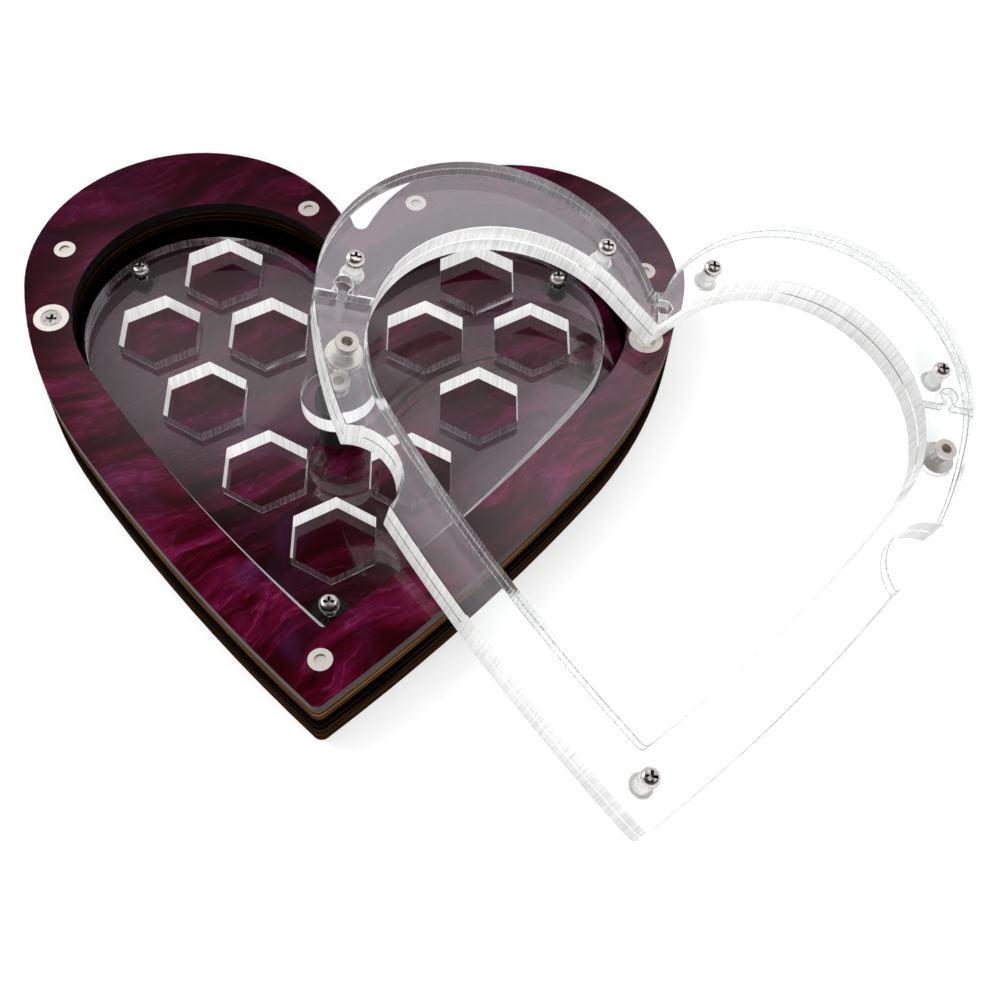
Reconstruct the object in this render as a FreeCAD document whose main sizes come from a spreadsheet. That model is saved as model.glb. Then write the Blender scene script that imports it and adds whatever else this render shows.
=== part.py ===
import FreeCAD
import Part
import Sketcher
import math
import os
from FreeCAD import Placement, Rotation, Vector

# Heart-shaped dice tray: a laminated plywood case with a pearl acrylic rim, a loose clear
# plate with hexagonal dice pockets and a lifting knob, and a loose clear ring that closes on
# the rim and here leans on the case's right-hand side.
# Origin: on the underside, midway between the centres of the two lobes. +Y runs to the lobes,
# the point of the heart lies towards -Y, +Z is up.

doc = FreeCAD.newDocument("dice_tray")
sheet = doc.addObject("Spreadsheet::Sheet", "Sizes")

# Driving dimensions, in millimetres and degrees
sizes = [
    ("lobe_radius", 48.3, "outer lobe"),
    ("lobe_overlap", 0.6, "how far a lobe's circle reaches past the axis"),
    ("notch_fillet", 2.2, "outer fillet between the lobes"),
    ("shoulder_radius", 132.0, "outer side, upper arc"),
    ("shoulder_turn", 11.0, "where the upper arc starts, below the lobe centre"),
    ("side_radius", 576.0, "outer side, lower arc"),
    ("side_turn", 37.8, "where the lower arc starts"),
    ("tip_fillet", 2.5, "outer point"),
    ("lobe_wall", 8.3, "outer lobe's radius less the well's"),
    ("well_inset", 7.5, "the well's lobe centre nearer to the axis"),
    ("well_drop", 13.3, "the well's lobe centre nearer to the point"),
    ("well_lobe_turn", 36.0, "where the well's side starts"),
    ("side_wall", 36.0, "outer side's lower radius less the well's"),
    ("well_tip_fillet", 1.5, "point of the well"),
    ("cleft_slope", 45.0, "slope of the well between its lobes"),
    ("ply_thickness", 2.8, "one plywood sheet"),
    ("rim_thickness", 3.0, "pearl acrylic rim and the magnets let into it"),
    ("floor_thickness", 2.0, "pearl acrylic floor panel and its magnets"),
    ("clear_thickness", 5.6, "clear acrylic sheet"),
    ("floor_clearance", 0.2, "floor panel to the well's wall"),
    ("insert_gap", 3.8, "pocket plate to the well's wall"),
    ("insert_shift_x", -2.2, "where the loose plate lies"),
    ("insert_shift_y", -0.3, "where the loose plate lies"),
    ("insert_heading", 1.2, "how the loose plate is turned"),
    ("pocket_across", 22.2, "dice pocket across its flats"),
    ("pocket_inner_in", 17.2, "inner pocket of a lobe, from the well's lobe centre to the axis"),
    ("pocket_outer_out", 14.5, "outer pocket of a lobe, away from the axis"),
    ("pocket_row_drop", 0.8, "both of these, below the well's lobe centre"),
    ("pocket_top_in", 1.9, "top pocket"),
    ("pocket_top_wall", 0.78, "plate left between the top pocket and its edge"),
    ("pocket_middle_in", 1.3, "next pocket down the side"),
    ("pocket_middle_drop", 25.7, "next pocket down the side"),
    ("pocket_lower_in", 20.2, "pocket under it"),
    ("pocket_lower_drop", 49.7, "pocket under it"),
    ("pocket_point_rise", 27.2, "pocket on the axis, above the plate's point"),
    ("side_nut_inset", 9.5, "case fastener beside a lobe, from the outer edge"),
    ("side_nut_turn", 8.2, "its direction from the lobe centre"),
    ("notch_nut_inset", 7.3, "case fastener beside the notch, from the outer edge"),
    ("notch_nut_turn", 140.8, "its direction from the lobe centre"),
    ("point_nut_rise", 12.7, "case fastener at the point, from the outer edge"),
    ("magnet_wall", 0.54, "rim left between a closing magnet and the well"),
    ("magnet_turn", -9.6, "their direction from the well's lobe centre"),
    ("insert_screw_inset", 4.6, "screws of the pocket plate, from its edge"),
    ("insert_screw_turn", 43.1, "their direction from the well's lobe centre"),
    ("insert_screw_rise", 6.5, "the plate's screw near the point, from its edge"),
    ("magnet_diameter", 10.0, "all magnets"),
    ("magnet_cone", 6.2, "mouth of a closing magnet's countersink"),
    ("magnet_fit", 0.1, "magnet to the hole around it"),
    ("screw_diameter", 3.0, "all screws"),
    ("thread_fit", 0.05, "screw to the hole around it"),
    ("pan_head_diameter", 5.4, "pan-head screws"),
    ("pan_head_height", 2.0, "pan-head screws"),
    ("pan_head_crown", 1.1, "rounded part of a pan head's height"),
    ("pan_head_flat", 2.6, "flat top of a pan head"),
    ("pan_head_bulge", 0.22, "rounding of a pan head, outwards and upwards of its slope"),
    ("flat_head_diameter", 5.6, "countersunk screws"),
    ("recess_span", 3.0, "cross recess, end to end"),
    ("recess_width", 0.8, "cross recess, one arm"),
    ("recess_depth", 1.1, "cross recess"),
    ("nut_flange_diameter", 6.3, "barrel nuts"),
    ("nut_flange_height", 0.9, "barrel nuts"),
    ("nut_barrel_diameter", 4.2, "barrel nuts"),
    ("nut_barrel_fit", 0.1, "barrel to its hole"),
    ("case_nut_length", 12.0, "barrel nut of the case, under its flange"),
    ("case_screw_end", 19.3, "tip of a case screw above the underside"),
    ("rim_screw_length", 11.0, "screw through a closing magnet of the rim"),
    ("ring_nut_length", 6.2, "barrel nut of the ring, under its flange"),
    ("ring_screw_length", 8.4, "pan-head screw of the ring, under its head"),
    ("ring_magnet_screw_length", 9.6, "screw through a closing magnet of the ring"),
    ("knob_drop", 36.7, "lifting knob, below the well's lobe centre"),
    ("knob_post_diameter", 12.7, "black post"),
    ("knob_post_height", 12.7, "black post"),
    ("knob_disc_diameter", 19.8, "clear disc"),
    ("knob_nut_length", 6.2, "barrel nut of the knob, under its flange"),
    ("knob_screw_end", 21.0, "tip of the knob's screw above the plate's underside"),
    ("scoop_radius", 13.2, "finger notch in the ring's outer edge"),
    ("scoop_outset", 4.0, "its centre outside the upper arc"),
    ("scoop_turn", 32.9, "its centre along the upper arc"),
    ("seam_gap", 0.15, "between two pieces of the ring's upper layer"),
    ("seam_drop", 5.6, "side seams, below the lobe centres"),
    ("tab_rise", 3.2, "centre of a side seam's round tab above the seam"),
    ("tab_radius", 2.6, "round tab"),
    ("tab_neck", 2.6, "width of the tab's neck"),
    ("key_radius", 2.6, "hexagonal tab of the seam at the notch"),
    ("key_shift", 1.6, "its centre from the axis"),
    ("lean_heading", -33.0, "direction in which the leaning ring slopes down"),
    ("ring_heading", -2.4, "how the ring is turned in its own plane"),
    ("ring_overlap", 11.2, "how far the ring's axis lies inside the case's right edge"),
    ("ring_shift", -27.3, "how far the ring lies towards the case's point"),
    ("rest_clearance", 0.1, "ring to the table and to the rim's edge"),
]

# Sizes that follow from the ones above
followers = [
    ("lobe_x", "lobe_radius - lobe_overlap", "centre of the outer lobe"),
    ("shoulder_x", "lobe_x + cos(shoulder_turn) * (lobe_radius - shoulder_radius)", "centre of the upper arc"),
    ("shoulder_y", "-sin(shoulder_turn) * (lobe_radius - shoulder_radius)", "centre of the upper arc"),
    ("side_x", "shoulder_x + cos(side_turn) * (shoulder_radius - side_radius)", "centre of the lower arc"),
    ("side_y", "shoulder_y - sin(side_turn) * (shoulder_radius - side_radius)", "centre of the lower arc"),
    ("notch_y", "sqrt((lobe_radius + notch_fillet)^2 - lobe_x^2)", "centre of the notch's fillet"),
    ("tip_y", "side_y - sqrt((side_radius - tip_fillet)^2 - side_x^2)", "centre of the outer point's fillet"),
    ("well_lobe_radius", "lobe_radius - lobe_wall", "lobe of the well"),
    ("well_lobe_x", "lobe_x - well_inset", "its centre"),
    ("well_side_radius", "side_radius - side_wall", "side of the well"),
    ("well_side_x", "well_lobe_x + cos(well_lobe_turn) * (well_lobe_radius - well_side_radius)", "centre"),
    ("well_side_y", "-well_drop - sin(well_lobe_turn) * (well_lobe_radius - well_side_radius)", "centre"),
    ("insert_tip_radius", "well_side_radius - insert_gap - well_tip_fillet", "the plate's side at its point"),
    ("insert_tip_y", "well_side_y - sqrt(insert_tip_radius^2 - well_side_x^2)", "centre of the plate's point"),
    ("cleft_x", "well_lobe_x - well_lobe_radius * sin(cleft_slope)", "end of the well's slope at the lobe"),
    ("cleft_end_y", "well_lobe_radius * cos(cleft_slope) - well_drop", "end of the well's slope at the lobe"),
    ("cleft_y", "cleft_end_y - cleft_x * tan(cleft_slope)", "where the two slopes meet"),
    ("side_nut_x", "lobe_x + (lobe_radius - side_nut_inset) * cos(side_nut_turn)", "nut beside a lobe"),
    ("side_nut_y", "(lobe_radius - side_nut_inset) * sin(side_nut_turn)", "nut beside a lobe"),
    ("notch_nut_x", "lobe_x + (lobe_radius - notch_nut_inset) * cos(notch_nut_turn)", "nut beside the notch"),
    ("notch_nut_y", "(lobe_radius - notch_nut_inset) * sin(notch_nut_turn)", "nut beside the notch"),
    ("point_nut_y", "tip_y - tip_fillet + point_nut_rise", "nut at the point"),
    ("magnet_reach", "well_lobe_radius + magnet_wall + magnet_fit + magnet_diameter / 2", "closing magnet"),
    ("magnet_x", "well_lobe_x + magnet_reach * cos(magnet_turn)", "closing magnet"),
    ("magnet_y", "magnet_reach * sin(magnet_turn) - well_drop", "closing magnet"),
    ("plate_screw_reach", "well_lobe_radius - insert_gap - insert_screw_inset", "screw from the lobe centre"),
    ("plate_screw_x", "well_lobe_x + plate_screw_reach * cos(insert_screw_turn)", "plate's screw"),
    ("plate_screw_y", "plate_screw_reach * sin(insert_screw_turn) - well_drop", "plate's screw"),
    ("plate_point_y", "insert_tip_y - well_tip_fillet + insert_screw_rise", "plate's screw near the point"),
    ("pocket_point_y", "insert_tip_y - well_tip_fillet + pocket_point_rise", "dice pocket nearest the point"),
    ("pocket_corner", "pocket_across / sqrt(3)", "dice pocket, from its centre to a corner"),
    ("pocket_top_rise", "well_lobe_radius - insert_gap - pocket_top_wall - pocket_corner", "top pocket"),
    ("knob_y", "-well_drop - knob_drop", "lifting knob"),
    ("scoop_x", "shoulder_x + (shoulder_radius + scoop_outset) * cos(scoop_turn)", "finger notch"),
    ("scoop_y", "shoulder_y - (shoulder_radius + scoop_outset) * sin(scoop_turn)", "finger notch"),
    ("tab_x", "(lobe_x + lobe_radius + well_lobe_x + well_lobe_radius) / 2", "round tab, amid the band"),
    ("key_y", "(notch_y - notch_fillet + cleft_y + key_shift) / 2", "hexagonal tab, amid the band"),
]
for row, (alias, value, note) in enumerate(sizes + followers, 1):
    sheet.set("A%d" % row, alias)
    sheet.set("B%d" % row, str(value) if row <= len(sizes) else "=" + value)
    sheet.setAlias("B%d" % row, alias)
    sheet.set("C%d" % row, note)
doc.recompute()


def size(alias):
    return float(sheet.get(alias))


# Outlines. An angle of a lobe or side is measured clockwise from +X, seen from above.
def down(angle):
    return Vector(math.cos(math.radians(angle)), -math.sin(math.radians(angle)), 0)


def outer_arcs():
    """Right half of the heart: (centre, radius, radius expression, start, end) downwards."""
    lobe = Vector(size("lobe_x"), 0, 0)
    shoulder = Vector(size("shoulder_x"), size("shoulder_y"), 0)
    side = Vector(size("side_x"), size("side_y"), 0)
    start = -math.degrees(math.atan2(size("notch_y"), -lobe.x))
    end = math.degrees(math.atan2(side.y - size("tip_y"), -side.x))
    turn = size("shoulder_turn")
    return [
        (lobe, size("lobe_radius"), "Sizes.lobe_radius", start, turn),
        (shoulder, size("shoulder_radius"), "Sizes.shoulder_radius", turn, size("side_turn")),
        (side, size("side_radius"), "Sizes.side_radius", size("side_turn"), end),
    ]


def inner_arcs(gap, gap_expression):
    """Right half of the well, or of a plate that stays the gap inside it."""
    lobe = Vector(size("well_lobe_x"), -size("well_drop"), 0)
    side = Vector(size("well_side_x"), size("well_side_y"), 0)
    radius = size("well_side_radius") - gap
    tip = tip_centre(side, radius, size("well_tip_fillet"))
    end = math.degrees(math.atan2(side.y - tip.y, tip.x - side.x))
    start = -(90.0 + size("cleft_slope"))
    turn = size("well_lobe_turn")
    lobe_expression = "Sizes.well_lobe_radius" + gap_expression
    side_expression = "Sizes.well_side_radius" + gap_expression
    return [
        (lobe, size("well_lobe_radius") - gap, lobe_expression, start, turn),
        (side, radius, side_expression, turn, end),
    ]


def tip_centre(side, side_radius, fillet):
    """Centre of the fillet that rounds the point between the two side arcs."""
    return Vector(0, side.y - math.sqrt((side_radius - fillet) ** 2 - side.x ** 2), 0)


def arc(centre, radius, first, last):
    """Arc between two angles in degrees, anticlockwise from +X."""
    circle = Part.Circle(centre, Vector(0, 0, 1), radius)
    return Part.ArcOfCircle(circle, math.radians(first), math.radians(last))


def mirrored_chain(arcs):
    """The right half's arcs, then the left half's, as sketch arcs from the top down and up again."""
    right = [(arc(c, r, -end, -start), text) for c, r, text, start, end in arcs]
    left = [
        (arc(Vector(-c.x, c.y, 0), r, 180 + start, 180 + end), text)
        for c, r, text, start, end in arcs
    ]
    return right, left[::-1]


def closing_arc(arcs, fillet, fillet_expression):
    """The fillet at the point of the heart."""
    centre, radius, text, start, end = arcs[-1]
    middle = tip_centre(centre, radius, fillet)
    return arc(middle, fillet, 180 + end, 360 - end), fillet_expression


def join(sketch, first, first_end, second, second_end):
    sketch.addConstraint(Sketcher.Constraint("Coincident", first, first_end, second, second_end))


def bind(sketch, kind, expression, *where):
    """A driving constraint whose value follows the sheet."""
    number = sketch.addConstraint(Sketcher.Constraint(kind, *where))
    sketch.setExpression("Constraints[%d]" % number, expression)


def add_chain(sketch, pieces):
    """Adds arcs as (geometry, radius expression) in order from the top right, clockwise."""
    numbers = []
    for geometry, expression in pieces:
        number = sketch.addGeometry(geometry, False)
        if expression:
            bind(sketch, "Radius", expression, number, geometry.Radius)
        numbers.append(number)
    return numbers


def add_outer(sketch):
    arcs = outer_arcs()
    right, left = mirrored_chain(arcs)
    tip = closing_arc(arcs, size("tip_fillet"), "Sizes.tip_fillet")
    notch_centre = Vector(0, size("notch_y"), 0)
    slope = math.degrees(math.atan2(size("notch_y"), size("lobe_x")))
    notch = arc(notch_centre, size("notch_fillet"), 180 + slope, 360 - slope)
    numbers = add_chain(sketch, right + [tip] + left + [(notch, "Sizes.notch_fillet")])
    count = len(right)
    for k in range(count):
        join(sketch, numbers[k], 1, numbers[k + 1], 2)
    for k in range(count, 2 * count):
        join(sketch, numbers[k], 1, numbers[k + 1], 2)
    join(sketch, numbers[2 * count], 1, numbers[-1], 1)
    join(sketch, numbers[-1], 2, numbers[0], 2)


def cleft_corner(gap):
    """Where the two slopes between the well's lobes meet, and the right slope's outer end."""
    slope = math.radians(size("cleft_slope"))
    x = size("cleft_x") + gap * math.sin(slope)
    y = size("cleft_end_y") - gap * math.cos(slope)
    return Vector(0, y - x * math.tan(slope), 0), Vector(x, y, 0)


def add_inner(sketch, gap=0.0, gap_expression=""):
    arcs = inner_arcs(gap, gap_expression)
    right, left = mirrored_chain(arcs)
    tip = closing_arc(arcs, size("well_tip_fillet"), "Sizes.well_tip_fillet")
    numbers = add_chain(sketch, right + [tip] + left)
    corner, slope_end = cleft_corner(gap)
    right_line = sketch.addGeometry(Part.LineSegment(corner, slope_end), False)
    left_line = sketch.addGeometry(Part.LineSegment(corner, Vector(-slope_end.x, slope_end.y, 0)), False)
    for k in range(len(numbers) - 1):
        join(sketch, numbers[k], 1, numbers[k + 1], 2)
    join(sketch, numbers[0], 2, right_line, 2)
    join(sketch, numbers[-1], 1, left_line, 2)
    join(sketch, right_line, 1, left_line, 1)


def add_hole(sketch, place, radius):
    """A round hole, at a place of the lists below, with its radius as an expression."""
    side, x_alias, y_alias = place
    number = sketch.addGeometry(Part.Circle(spot(place), Vector(0, 0, 1), size_of(radius)), False)
    bind(sketch, "Radius", radius, number, size_of(radius))
    if side:
        bind(sketch, "DistanceX", "%d * Sizes.%s" % (side, x_alias), -1, 1, number, 3, side * size(x_alias))
    else:
        sketch.addConstraint(Sketcher.Constraint("PointOnObject", number, 3, -2))
    bind(sketch, "DistanceY", "Sizes." + y_alias, -1, 1, number, 3, size(y_alias))


def size_of(expression):
    """Value of an expression of sheet cells."""
    return float(sheet.evalExpression(expression.replace("Sizes.", "")))


def pair(x_alias, y_alias):
    """Places on both sides of the axis: (side, cell of its X, cell of its Y); -1 is left, 1 right."""
    return [(-1, x_alias, y_alias), (1, x_alias, y_alias)]


# Places shared by the case, the rim, the ring and the fasteners; side 0 is on the axis
case_nuts = pair("side_nut_x", "side_nut_y") + pair("notch_nut_x", "notch_nut_y") + [(0, "", "point_nut_y")]
closing_magnets = pair("magnet_x", "magnet_y")
insert_screws = pair("plate_screw_x", "plate_screw_y") + [(0, "", "plate_point_y")]
scoops = pair("scoop_x", "scoop_y")
knob_place = (0, "", "knob_y")

screw_hole = "Sizes.screw_diameter / 2 + Sizes.thread_fit"
barrel_hole = "Sizes.nut_barrel_diameter / 2 + Sizes.nut_barrel_fit"
flange_hole = "Sizes.nut_flange_diameter / 2 + Sizes.nut_barrel_fit"
magnet_hole = "Sizes.magnet_diameter / 2 + Sizes.magnet_fit"


def spot(place, z=0.0):
    side, x_alias, y_alias = place
    return Vector(side * size(x_alias) if side else 0, size(y_alias), z)


# Bodies
def new_body(label):
    body = doc.addObject("PartDesign::Body", label)
    body.Label = label
    return body


def new_sketch(body, name, role="XY_Plane"):
    sketch = body.newObject("Sketcher::SketchObject", name)
    plane = [f for f in body.Origin.OriginFeatures if f.Role == role][0]
    sketch.AttachmentSupport = [(plane, "")]
    sketch.MapMode = "FlatFace"
    return sketch


def pad(body, sketch, length):
    feature = body.newObject("PartDesign::Pad", sketch.Name + "_pad")
    feature.Profile = sketch
    feature.setExpression("Length", length)
    sketch.Visibility = False
    return feature


def pocket(body, sketch, depth, upwards):
    """A pocket of the given depth that must take material away."""
    doc.recompute()
    before = body.Shape.Volume
    feature = body.newObject("PartDesign::Pocket", sketch.Name + "_pocket")
    feature.Profile = sketch
    feature.setExpression("Length", depth)
    feature.Reversed = upwards
    doc.recompute()
    if not body.Shape.Volume < before - 1e-3:
        raise RuntimeError("nothing was cut by " + feature.Name)
    return feature


def plate(label, thickness, outline, holes, well=False):
    """A flat sheet with its outline, its well and its round holes in one sketch."""
    body = new_body(label)
    sketch = new_sketch(body, label + "_outline")
    outline(sketch)
    if well:
        add_inner(sketch)
    for places, radius in holes:
        for place in places:
            add_hole(sketch, place, radius)
    pad(body, sketch, thickness)
    return body


def counterbore(body, name, places, radius, depth, at=None):
    """Round pockets: from the underside upwards, or from the height given downwards."""
    sketch = new_sketch(body, name)
    if at:
        sketch.setExpression(".AttachmentOffset.Base.z", at)
    for place in places:
        add_hole(sketch, place, radius)
    pocket(body, sketch, depth, at is None)


def raise_to(body, height):
    body.setExpression(".Placement.Base.z", height)


# Case: a bottom board and five frame sheets of plywood
bottom_board = plate("bottom_board", "Sizes.ply_thickness", add_outer, [(case_nuts, screw_hole)])


def countersink(label, place):
    """A cone for a countersunk head let in from below."""
    tool = doc.addObject("Part::Cone", label)
    tool.setExpression("Radius1", "Sizes.flat_head_diameter / 2 + Sizes.thread_fit")
    tool.setExpression("Radius2", screw_hole)
    tool.setExpression("Height", "(Sizes.flat_head_diameter - Sizes.screw_diameter) / 2")
    tool.Placement = Placement(spot(place), Rotation())
    return tool


case_sinks = doc.addObject("Part::Compound", "case_sinks")
case_sinks.Links = [countersink("case_sink_%d" % k, place) for k, place in enumerate(case_nuts, 1)]
bottom_board.Label = "bottom_board_blank"
sunk_board = doc.addObject("Part::Cut", "sunk_board")
sunk_board.Base = bottom_board
sunk_board.Tool = case_sinks
sunk_board.Label = "bottom_board"

frame_sheets = 5
frame_plies = []
for k in range(frame_sheets):
    ply = plate(
        "frame_ply_%d" % (k + 1),
        "Sizes.ply_thickness",
        add_outer,
        [(case_nuts, barrel_hole), (closing_magnets, screw_hole)],
        well=True,
    )
    raise_to(ply, "Sizes.ply_thickness * %d" % (k + 1))
    frame_plies.append(ply)
case_sheets = frame_sheets + 1
rim_base = "Sizes.ply_thickness * %d" % case_sheets
case_height = size("ply_thickness") * case_sheets + size("rim_thickness")

# Rim: pearl acrylic, with counterbores for the nut flanges and holes for the magnets
rim_plate = plate(
    "rim_plate",
    "Sizes.rim_thickness",
    add_outer,
    [(case_nuts, barrel_hole), (closing_magnets, magnet_hole)],
    well=True,
)
counterbore(
    rim_plate, "rim_flanges", case_nuts, flange_hole, "Sizes.nut_flange_height", "Sizes.rim_thickness"
)
raise_to(rim_plate, rim_base)

# Floor of the well: pearl acrylic with three magnets let in
lie = Placement(
    Vector(size("insert_shift_x"), size("insert_shift_y"), 0),
    Rotation(Vector(0, 0, 1), size("insert_heading")),
)
floor_blank = plate(
    "floor_blank",
    "Sizes.floor_thickness",
    lambda sketch: add_inner(sketch, size("floor_clearance"), " - Sizes.floor_clearance"),
    [],
)
raise_to(floor_blank, "Sizes.ply_thickness")
floor_holes = doc.addObject("Part::Compound", "floor_holes")
hole_tools = []
for k, place in enumerate(insert_screws):
    tool = doc.addObject("Part::Cylinder", "floor_hole_%d" % (k + 1))
    tool.setExpression("Radius", magnet_hole)
    tool.setExpression("Height", "Sizes.floor_thickness")
    tool.Placement = Placement(lie.multVec(spot(place, size("ply_thickness"))), Rotation())
    hole_tools.append(tool)
floor_holes.Links = hole_tools
floor_panel = doc.addObject("Part::Cut", "floor_panel")
floor_panel.Base = floor_blank
floor_panel.Tool = floor_holes
floor_panel.Label = "floor_panel"


# Fasteners, each drawn once about the Z axis
def turned(label, corners, rounded=None):
    """A body turned about Z from (radius, height) corners; a rounded edge's middle has its own point."""
    body = new_body(label)
    sketch = new_sketch(body, label + "_profile", "XZ_Plane")
    points = [Vector(x, y, 0) for x, y in corners]
    for k, point in enumerate(points):
        following = points[(k + 1) % len(points)]
        if rounded and k in rounded:
            middle = Vector(rounded[k][0], rounded[k][1], 0)
            sketch.addGeometry(Part.Arc(point, middle, following), False)
        else:
            sketch.addGeometry(Part.LineSegment(point, following), False)
    revolution = body.newObject("PartDesign::Revolution", label + "_turned")
    revolution.Profile = sketch
    revolution.ReferenceAxis = (sketch, ["V_Axis"])
    revolution.Angle = 360.0
    doc.recompute()
    return body


def cross_recess(body, top):
    """A cross recess in the head's top, cut down from as far above it as it goes in."""
    sketch = new_sketch(body, body.Name + "_cross")
    sketch.AttachmentOffset = Placement(Vector(0, 0, top + size("recess_depth")), Rotation())
    long = size("recess_span") / 2
    arm = size("recess_width") / 2
    corner = [
        (long, -arm), (long, arm), (arm, arm), (arm, long), (-arm, long), (-arm, arm),
        (-long, arm), (-long, -arm), (-arm, -arm), (-arm, -long), (arm, -long), (arm, -arm),
    ]
    points = [Vector(x, y, 0) for x, y in corner]
    for point, following in zip(points, points[1:] + points[:1]):
        sketch.addGeometry(Part.LineSegment(point, following), False)
    pocket(body, sketch, "2 * Sizes.recess_depth", False)


def pan_screw(label, length):
    """Pan-head screw: its head's underside at height 0, its shank below."""
    shank = size("screw_diameter") / 2
    head = size("pan_head_diameter") / 2
    rise = size("pan_head_height")
    wall = rise - size("pan_head_crown")
    flat = size("pan_head_flat") / 2
    corners = [(0, -length), (shank, -length), (shank, 0), (head, 0), (head, wall)]
    corners += [(flat, rise), (0, rise)]
    bulge = size("pan_head_bulge")
    middle = ((head + flat) / 2 + bulge, (wall + rise) / 2 + bulge)
    body = turned(label, corners, {4: middle})
    cross_recess(body, rise)
    return body


def flat_screw(label, length):
    """Countersunk screw: its head's flat face at height 0, its shank below."""
    shank = size("screw_diameter") / 2
    head = size("flat_head_diameter") / 2
    corners = [(0, -length), (shank, -length), (shank, -(head - shank)), (head, 0), (0, 0)]
    body = turned(label, corners)
    cross_recess(body, 0)
    return body


def barrel_nut(label, length):
    """Flanged barrel nut: its flange's underside at height 0, its barrel below, bored through."""
    bore = size("screw_diameter") / 2 + size("thread_fit")
    barrel = size("nut_barrel_diameter") / 2
    flange = size("nut_flange_diameter") / 2
    rise = size("nut_flange_height")
    corners = [(bore, -length), (barrel, -length), (barrel, 0), (flange, 0), (flange, rise), (bore, rise)]
    return turned(label, corners)


def closing_magnet(label):
    """Ring magnet with a countersink at its top face, which lies at height 0."""
    bore = size("screw_diameter") / 2 + size("thread_fit")
    edge = size("magnet_diameter") / 2
    mouth = size("magnet_cone") / 2
    low = size("rim_thickness")
    return turned(label, [(bore, -low), (edge, -low), (edge, 0), (mouth, 0), (bore, -(mouth - bore))])


def group(label, template, places, frame):
    """Copies of one fastener as a group of solids; each place is a Placement in the frame."""
    copies = []
    for place in places:
        copy = template.Shape.copy()
        copy.Placement = place
        copies.append(copy)
    feature = doc.addObject("Part::Feature", label)
    feature.Label = label
    feature.Shape = Part.makeCompound(copies)
    feature.Placement = frame
    return feature


upright = Rotation()
upside_down = Rotation(Vector(1, 0, 0), 180)
home = Placement()

case_nut = barrel_nut("case_nut_form", size("case_nut_length"))
case_screw = flat_screw("case_screw_form", size("case_screw_end"))
rim_magnet = closing_magnet("closing_magnet_form")
rim_screw = flat_screw("rim_screw_form", size("rim_screw_length"))

flange_seat = case_height - size("nut_flange_height")
magnet_head = (size("magnet_cone") - size("flat_head_diameter")) / 2 - size("thread_fit")
rim_nuts = group("rim_nuts", case_nut, [Placement(spot(p, flange_seat), upright) for p in case_nuts], home)
case_screws = group("case_screws", case_screw, [Placement(spot(p), upside_down) for p in case_nuts], home)
rim_magnets = group(
    "rim_magnets", rim_magnet, [Placement(spot(p, case_height), upright) for p in closing_magnets], home
)
rim_magnet_screws = group(
    "rim_magnet_screws",
    rim_screw,
    [Placement(spot(p, case_height - magnet_head), upright) for p in closing_magnets],
    home,
)

floor_magnet = doc.addObject("Part::Cylinder", "floor_magnet_form")
floor_magnet.setExpression("Radius", "Sizes.magnet_diameter / 2")
floor_magnet.setExpression("Height", "Sizes.floor_thickness")
doc.recompute()
floor_magnets = group(
    "floor_magnets",
    floor_magnet,
    [Placement(lie.multVec(spot(p, size("ply_thickness"))), upright) for p in insert_screws],
    home,
)

# Pocket plate: a loose clear sheet with eleven hexagonal pockets
insert_level = size("ply_thickness") + size("floor_thickness")
insert_place = Placement(Vector(lie.Base.x, lie.Base.y, insert_level), lie.Rotation)
insert_blank = plate(
    "insert_blank",
    "Sizes.clear_thickness",
    lambda sketch: add_inner(sketch, size("insert_gap"), " - Sizes.insert_gap"),
    [(insert_screws + [knob_place], screw_hole)],
)
pocket_offsets = [
    (-size("pocket_inner_in"), -size("pocket_row_drop")),
    (size("pocket_outer_out"), -size("pocket_row_drop")),
    (-size("pocket_top_in"), size("pocket_top_rise")),
    (-size("pocket_middle_in"), -size("pocket_middle_drop")),
    (-size("pocket_lower_in"), -size("pocket_lower_drop")),
]
pocket_places = [(0, size("pocket_point_y"))]
for outwards, rise in pocket_offsets:
    for side in (-1, 1):
        pocket_places.append((side * (size("well_lobe_x") + outwards), rise - size("well_drop")))
pocket_tools = []
for k, (x, y) in enumerate(pocket_places):
    tool = doc.addObject("Part::Prism", "dice_pocket_%d" % (k + 1))
    tool.Polygon = 6
    tool.setExpression("Circumradius", "Sizes.pocket_corner")
    tool.setExpression("Height", "Sizes.clear_thickness")
    tool.Placement = Placement(Vector(x, y, 0), Rotation(Vector(0, 0, 1), 90))
    pocket_tools.append(tool)
pockets = doc.addObject("Part::Compound", "dice_pockets")
pockets.Links = pocket_tools + [countersink("knob_sink", knob_place)]
insert_plate = doc.addObject("Part::Cut", "insert_plate")
insert_plate.Base = insert_blank
insert_plate.Tool = pockets
insert_plate.Label = "insert_plate"
insert_plate.Placement = insert_place

plate_screw = pan_screw("plate_screw_form", size("clear_thickness"))
plate_top = size("clear_thickness")
insert_screw_group = group(
    "insert_screws",
    plate_screw,
    [Placement(spot(p, plate_top), upright) for p in insert_screws],
    insert_place,
)

# Lifting knob: a black post, a clear disc, a nut on top and a screw from below
knob_spot = spot(knob_place)
post_top = plate_top + size("knob_post_height")
disc_top = post_top + size("clear_thickness")


def drilled_cylinder(label, diameter, height, hole, level):
    """A round piece of the knob with its hole, standing on the level given."""
    outside = doc.addObject("Part::Cylinder", label + "_outside")
    outside.setExpression("Radius", "Sizes.%s / 2" % diameter)
    outside.setExpression("Height", "Sizes." + height)
    inside = doc.addObject("Part::Cylinder", label + "_hole")
    inside.setExpression("Radius", hole)
    inside.setExpression("Height", "Sizes." + height)
    piece = doc.addObject("Part::Cut", label)
    piece.Base = outside
    piece.Tool = inside
    piece.Label = label
    piece.Placement = insert_place.multiply(Placement(Vector(0, knob_spot.y, level), Rotation()))
    return piece


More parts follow.
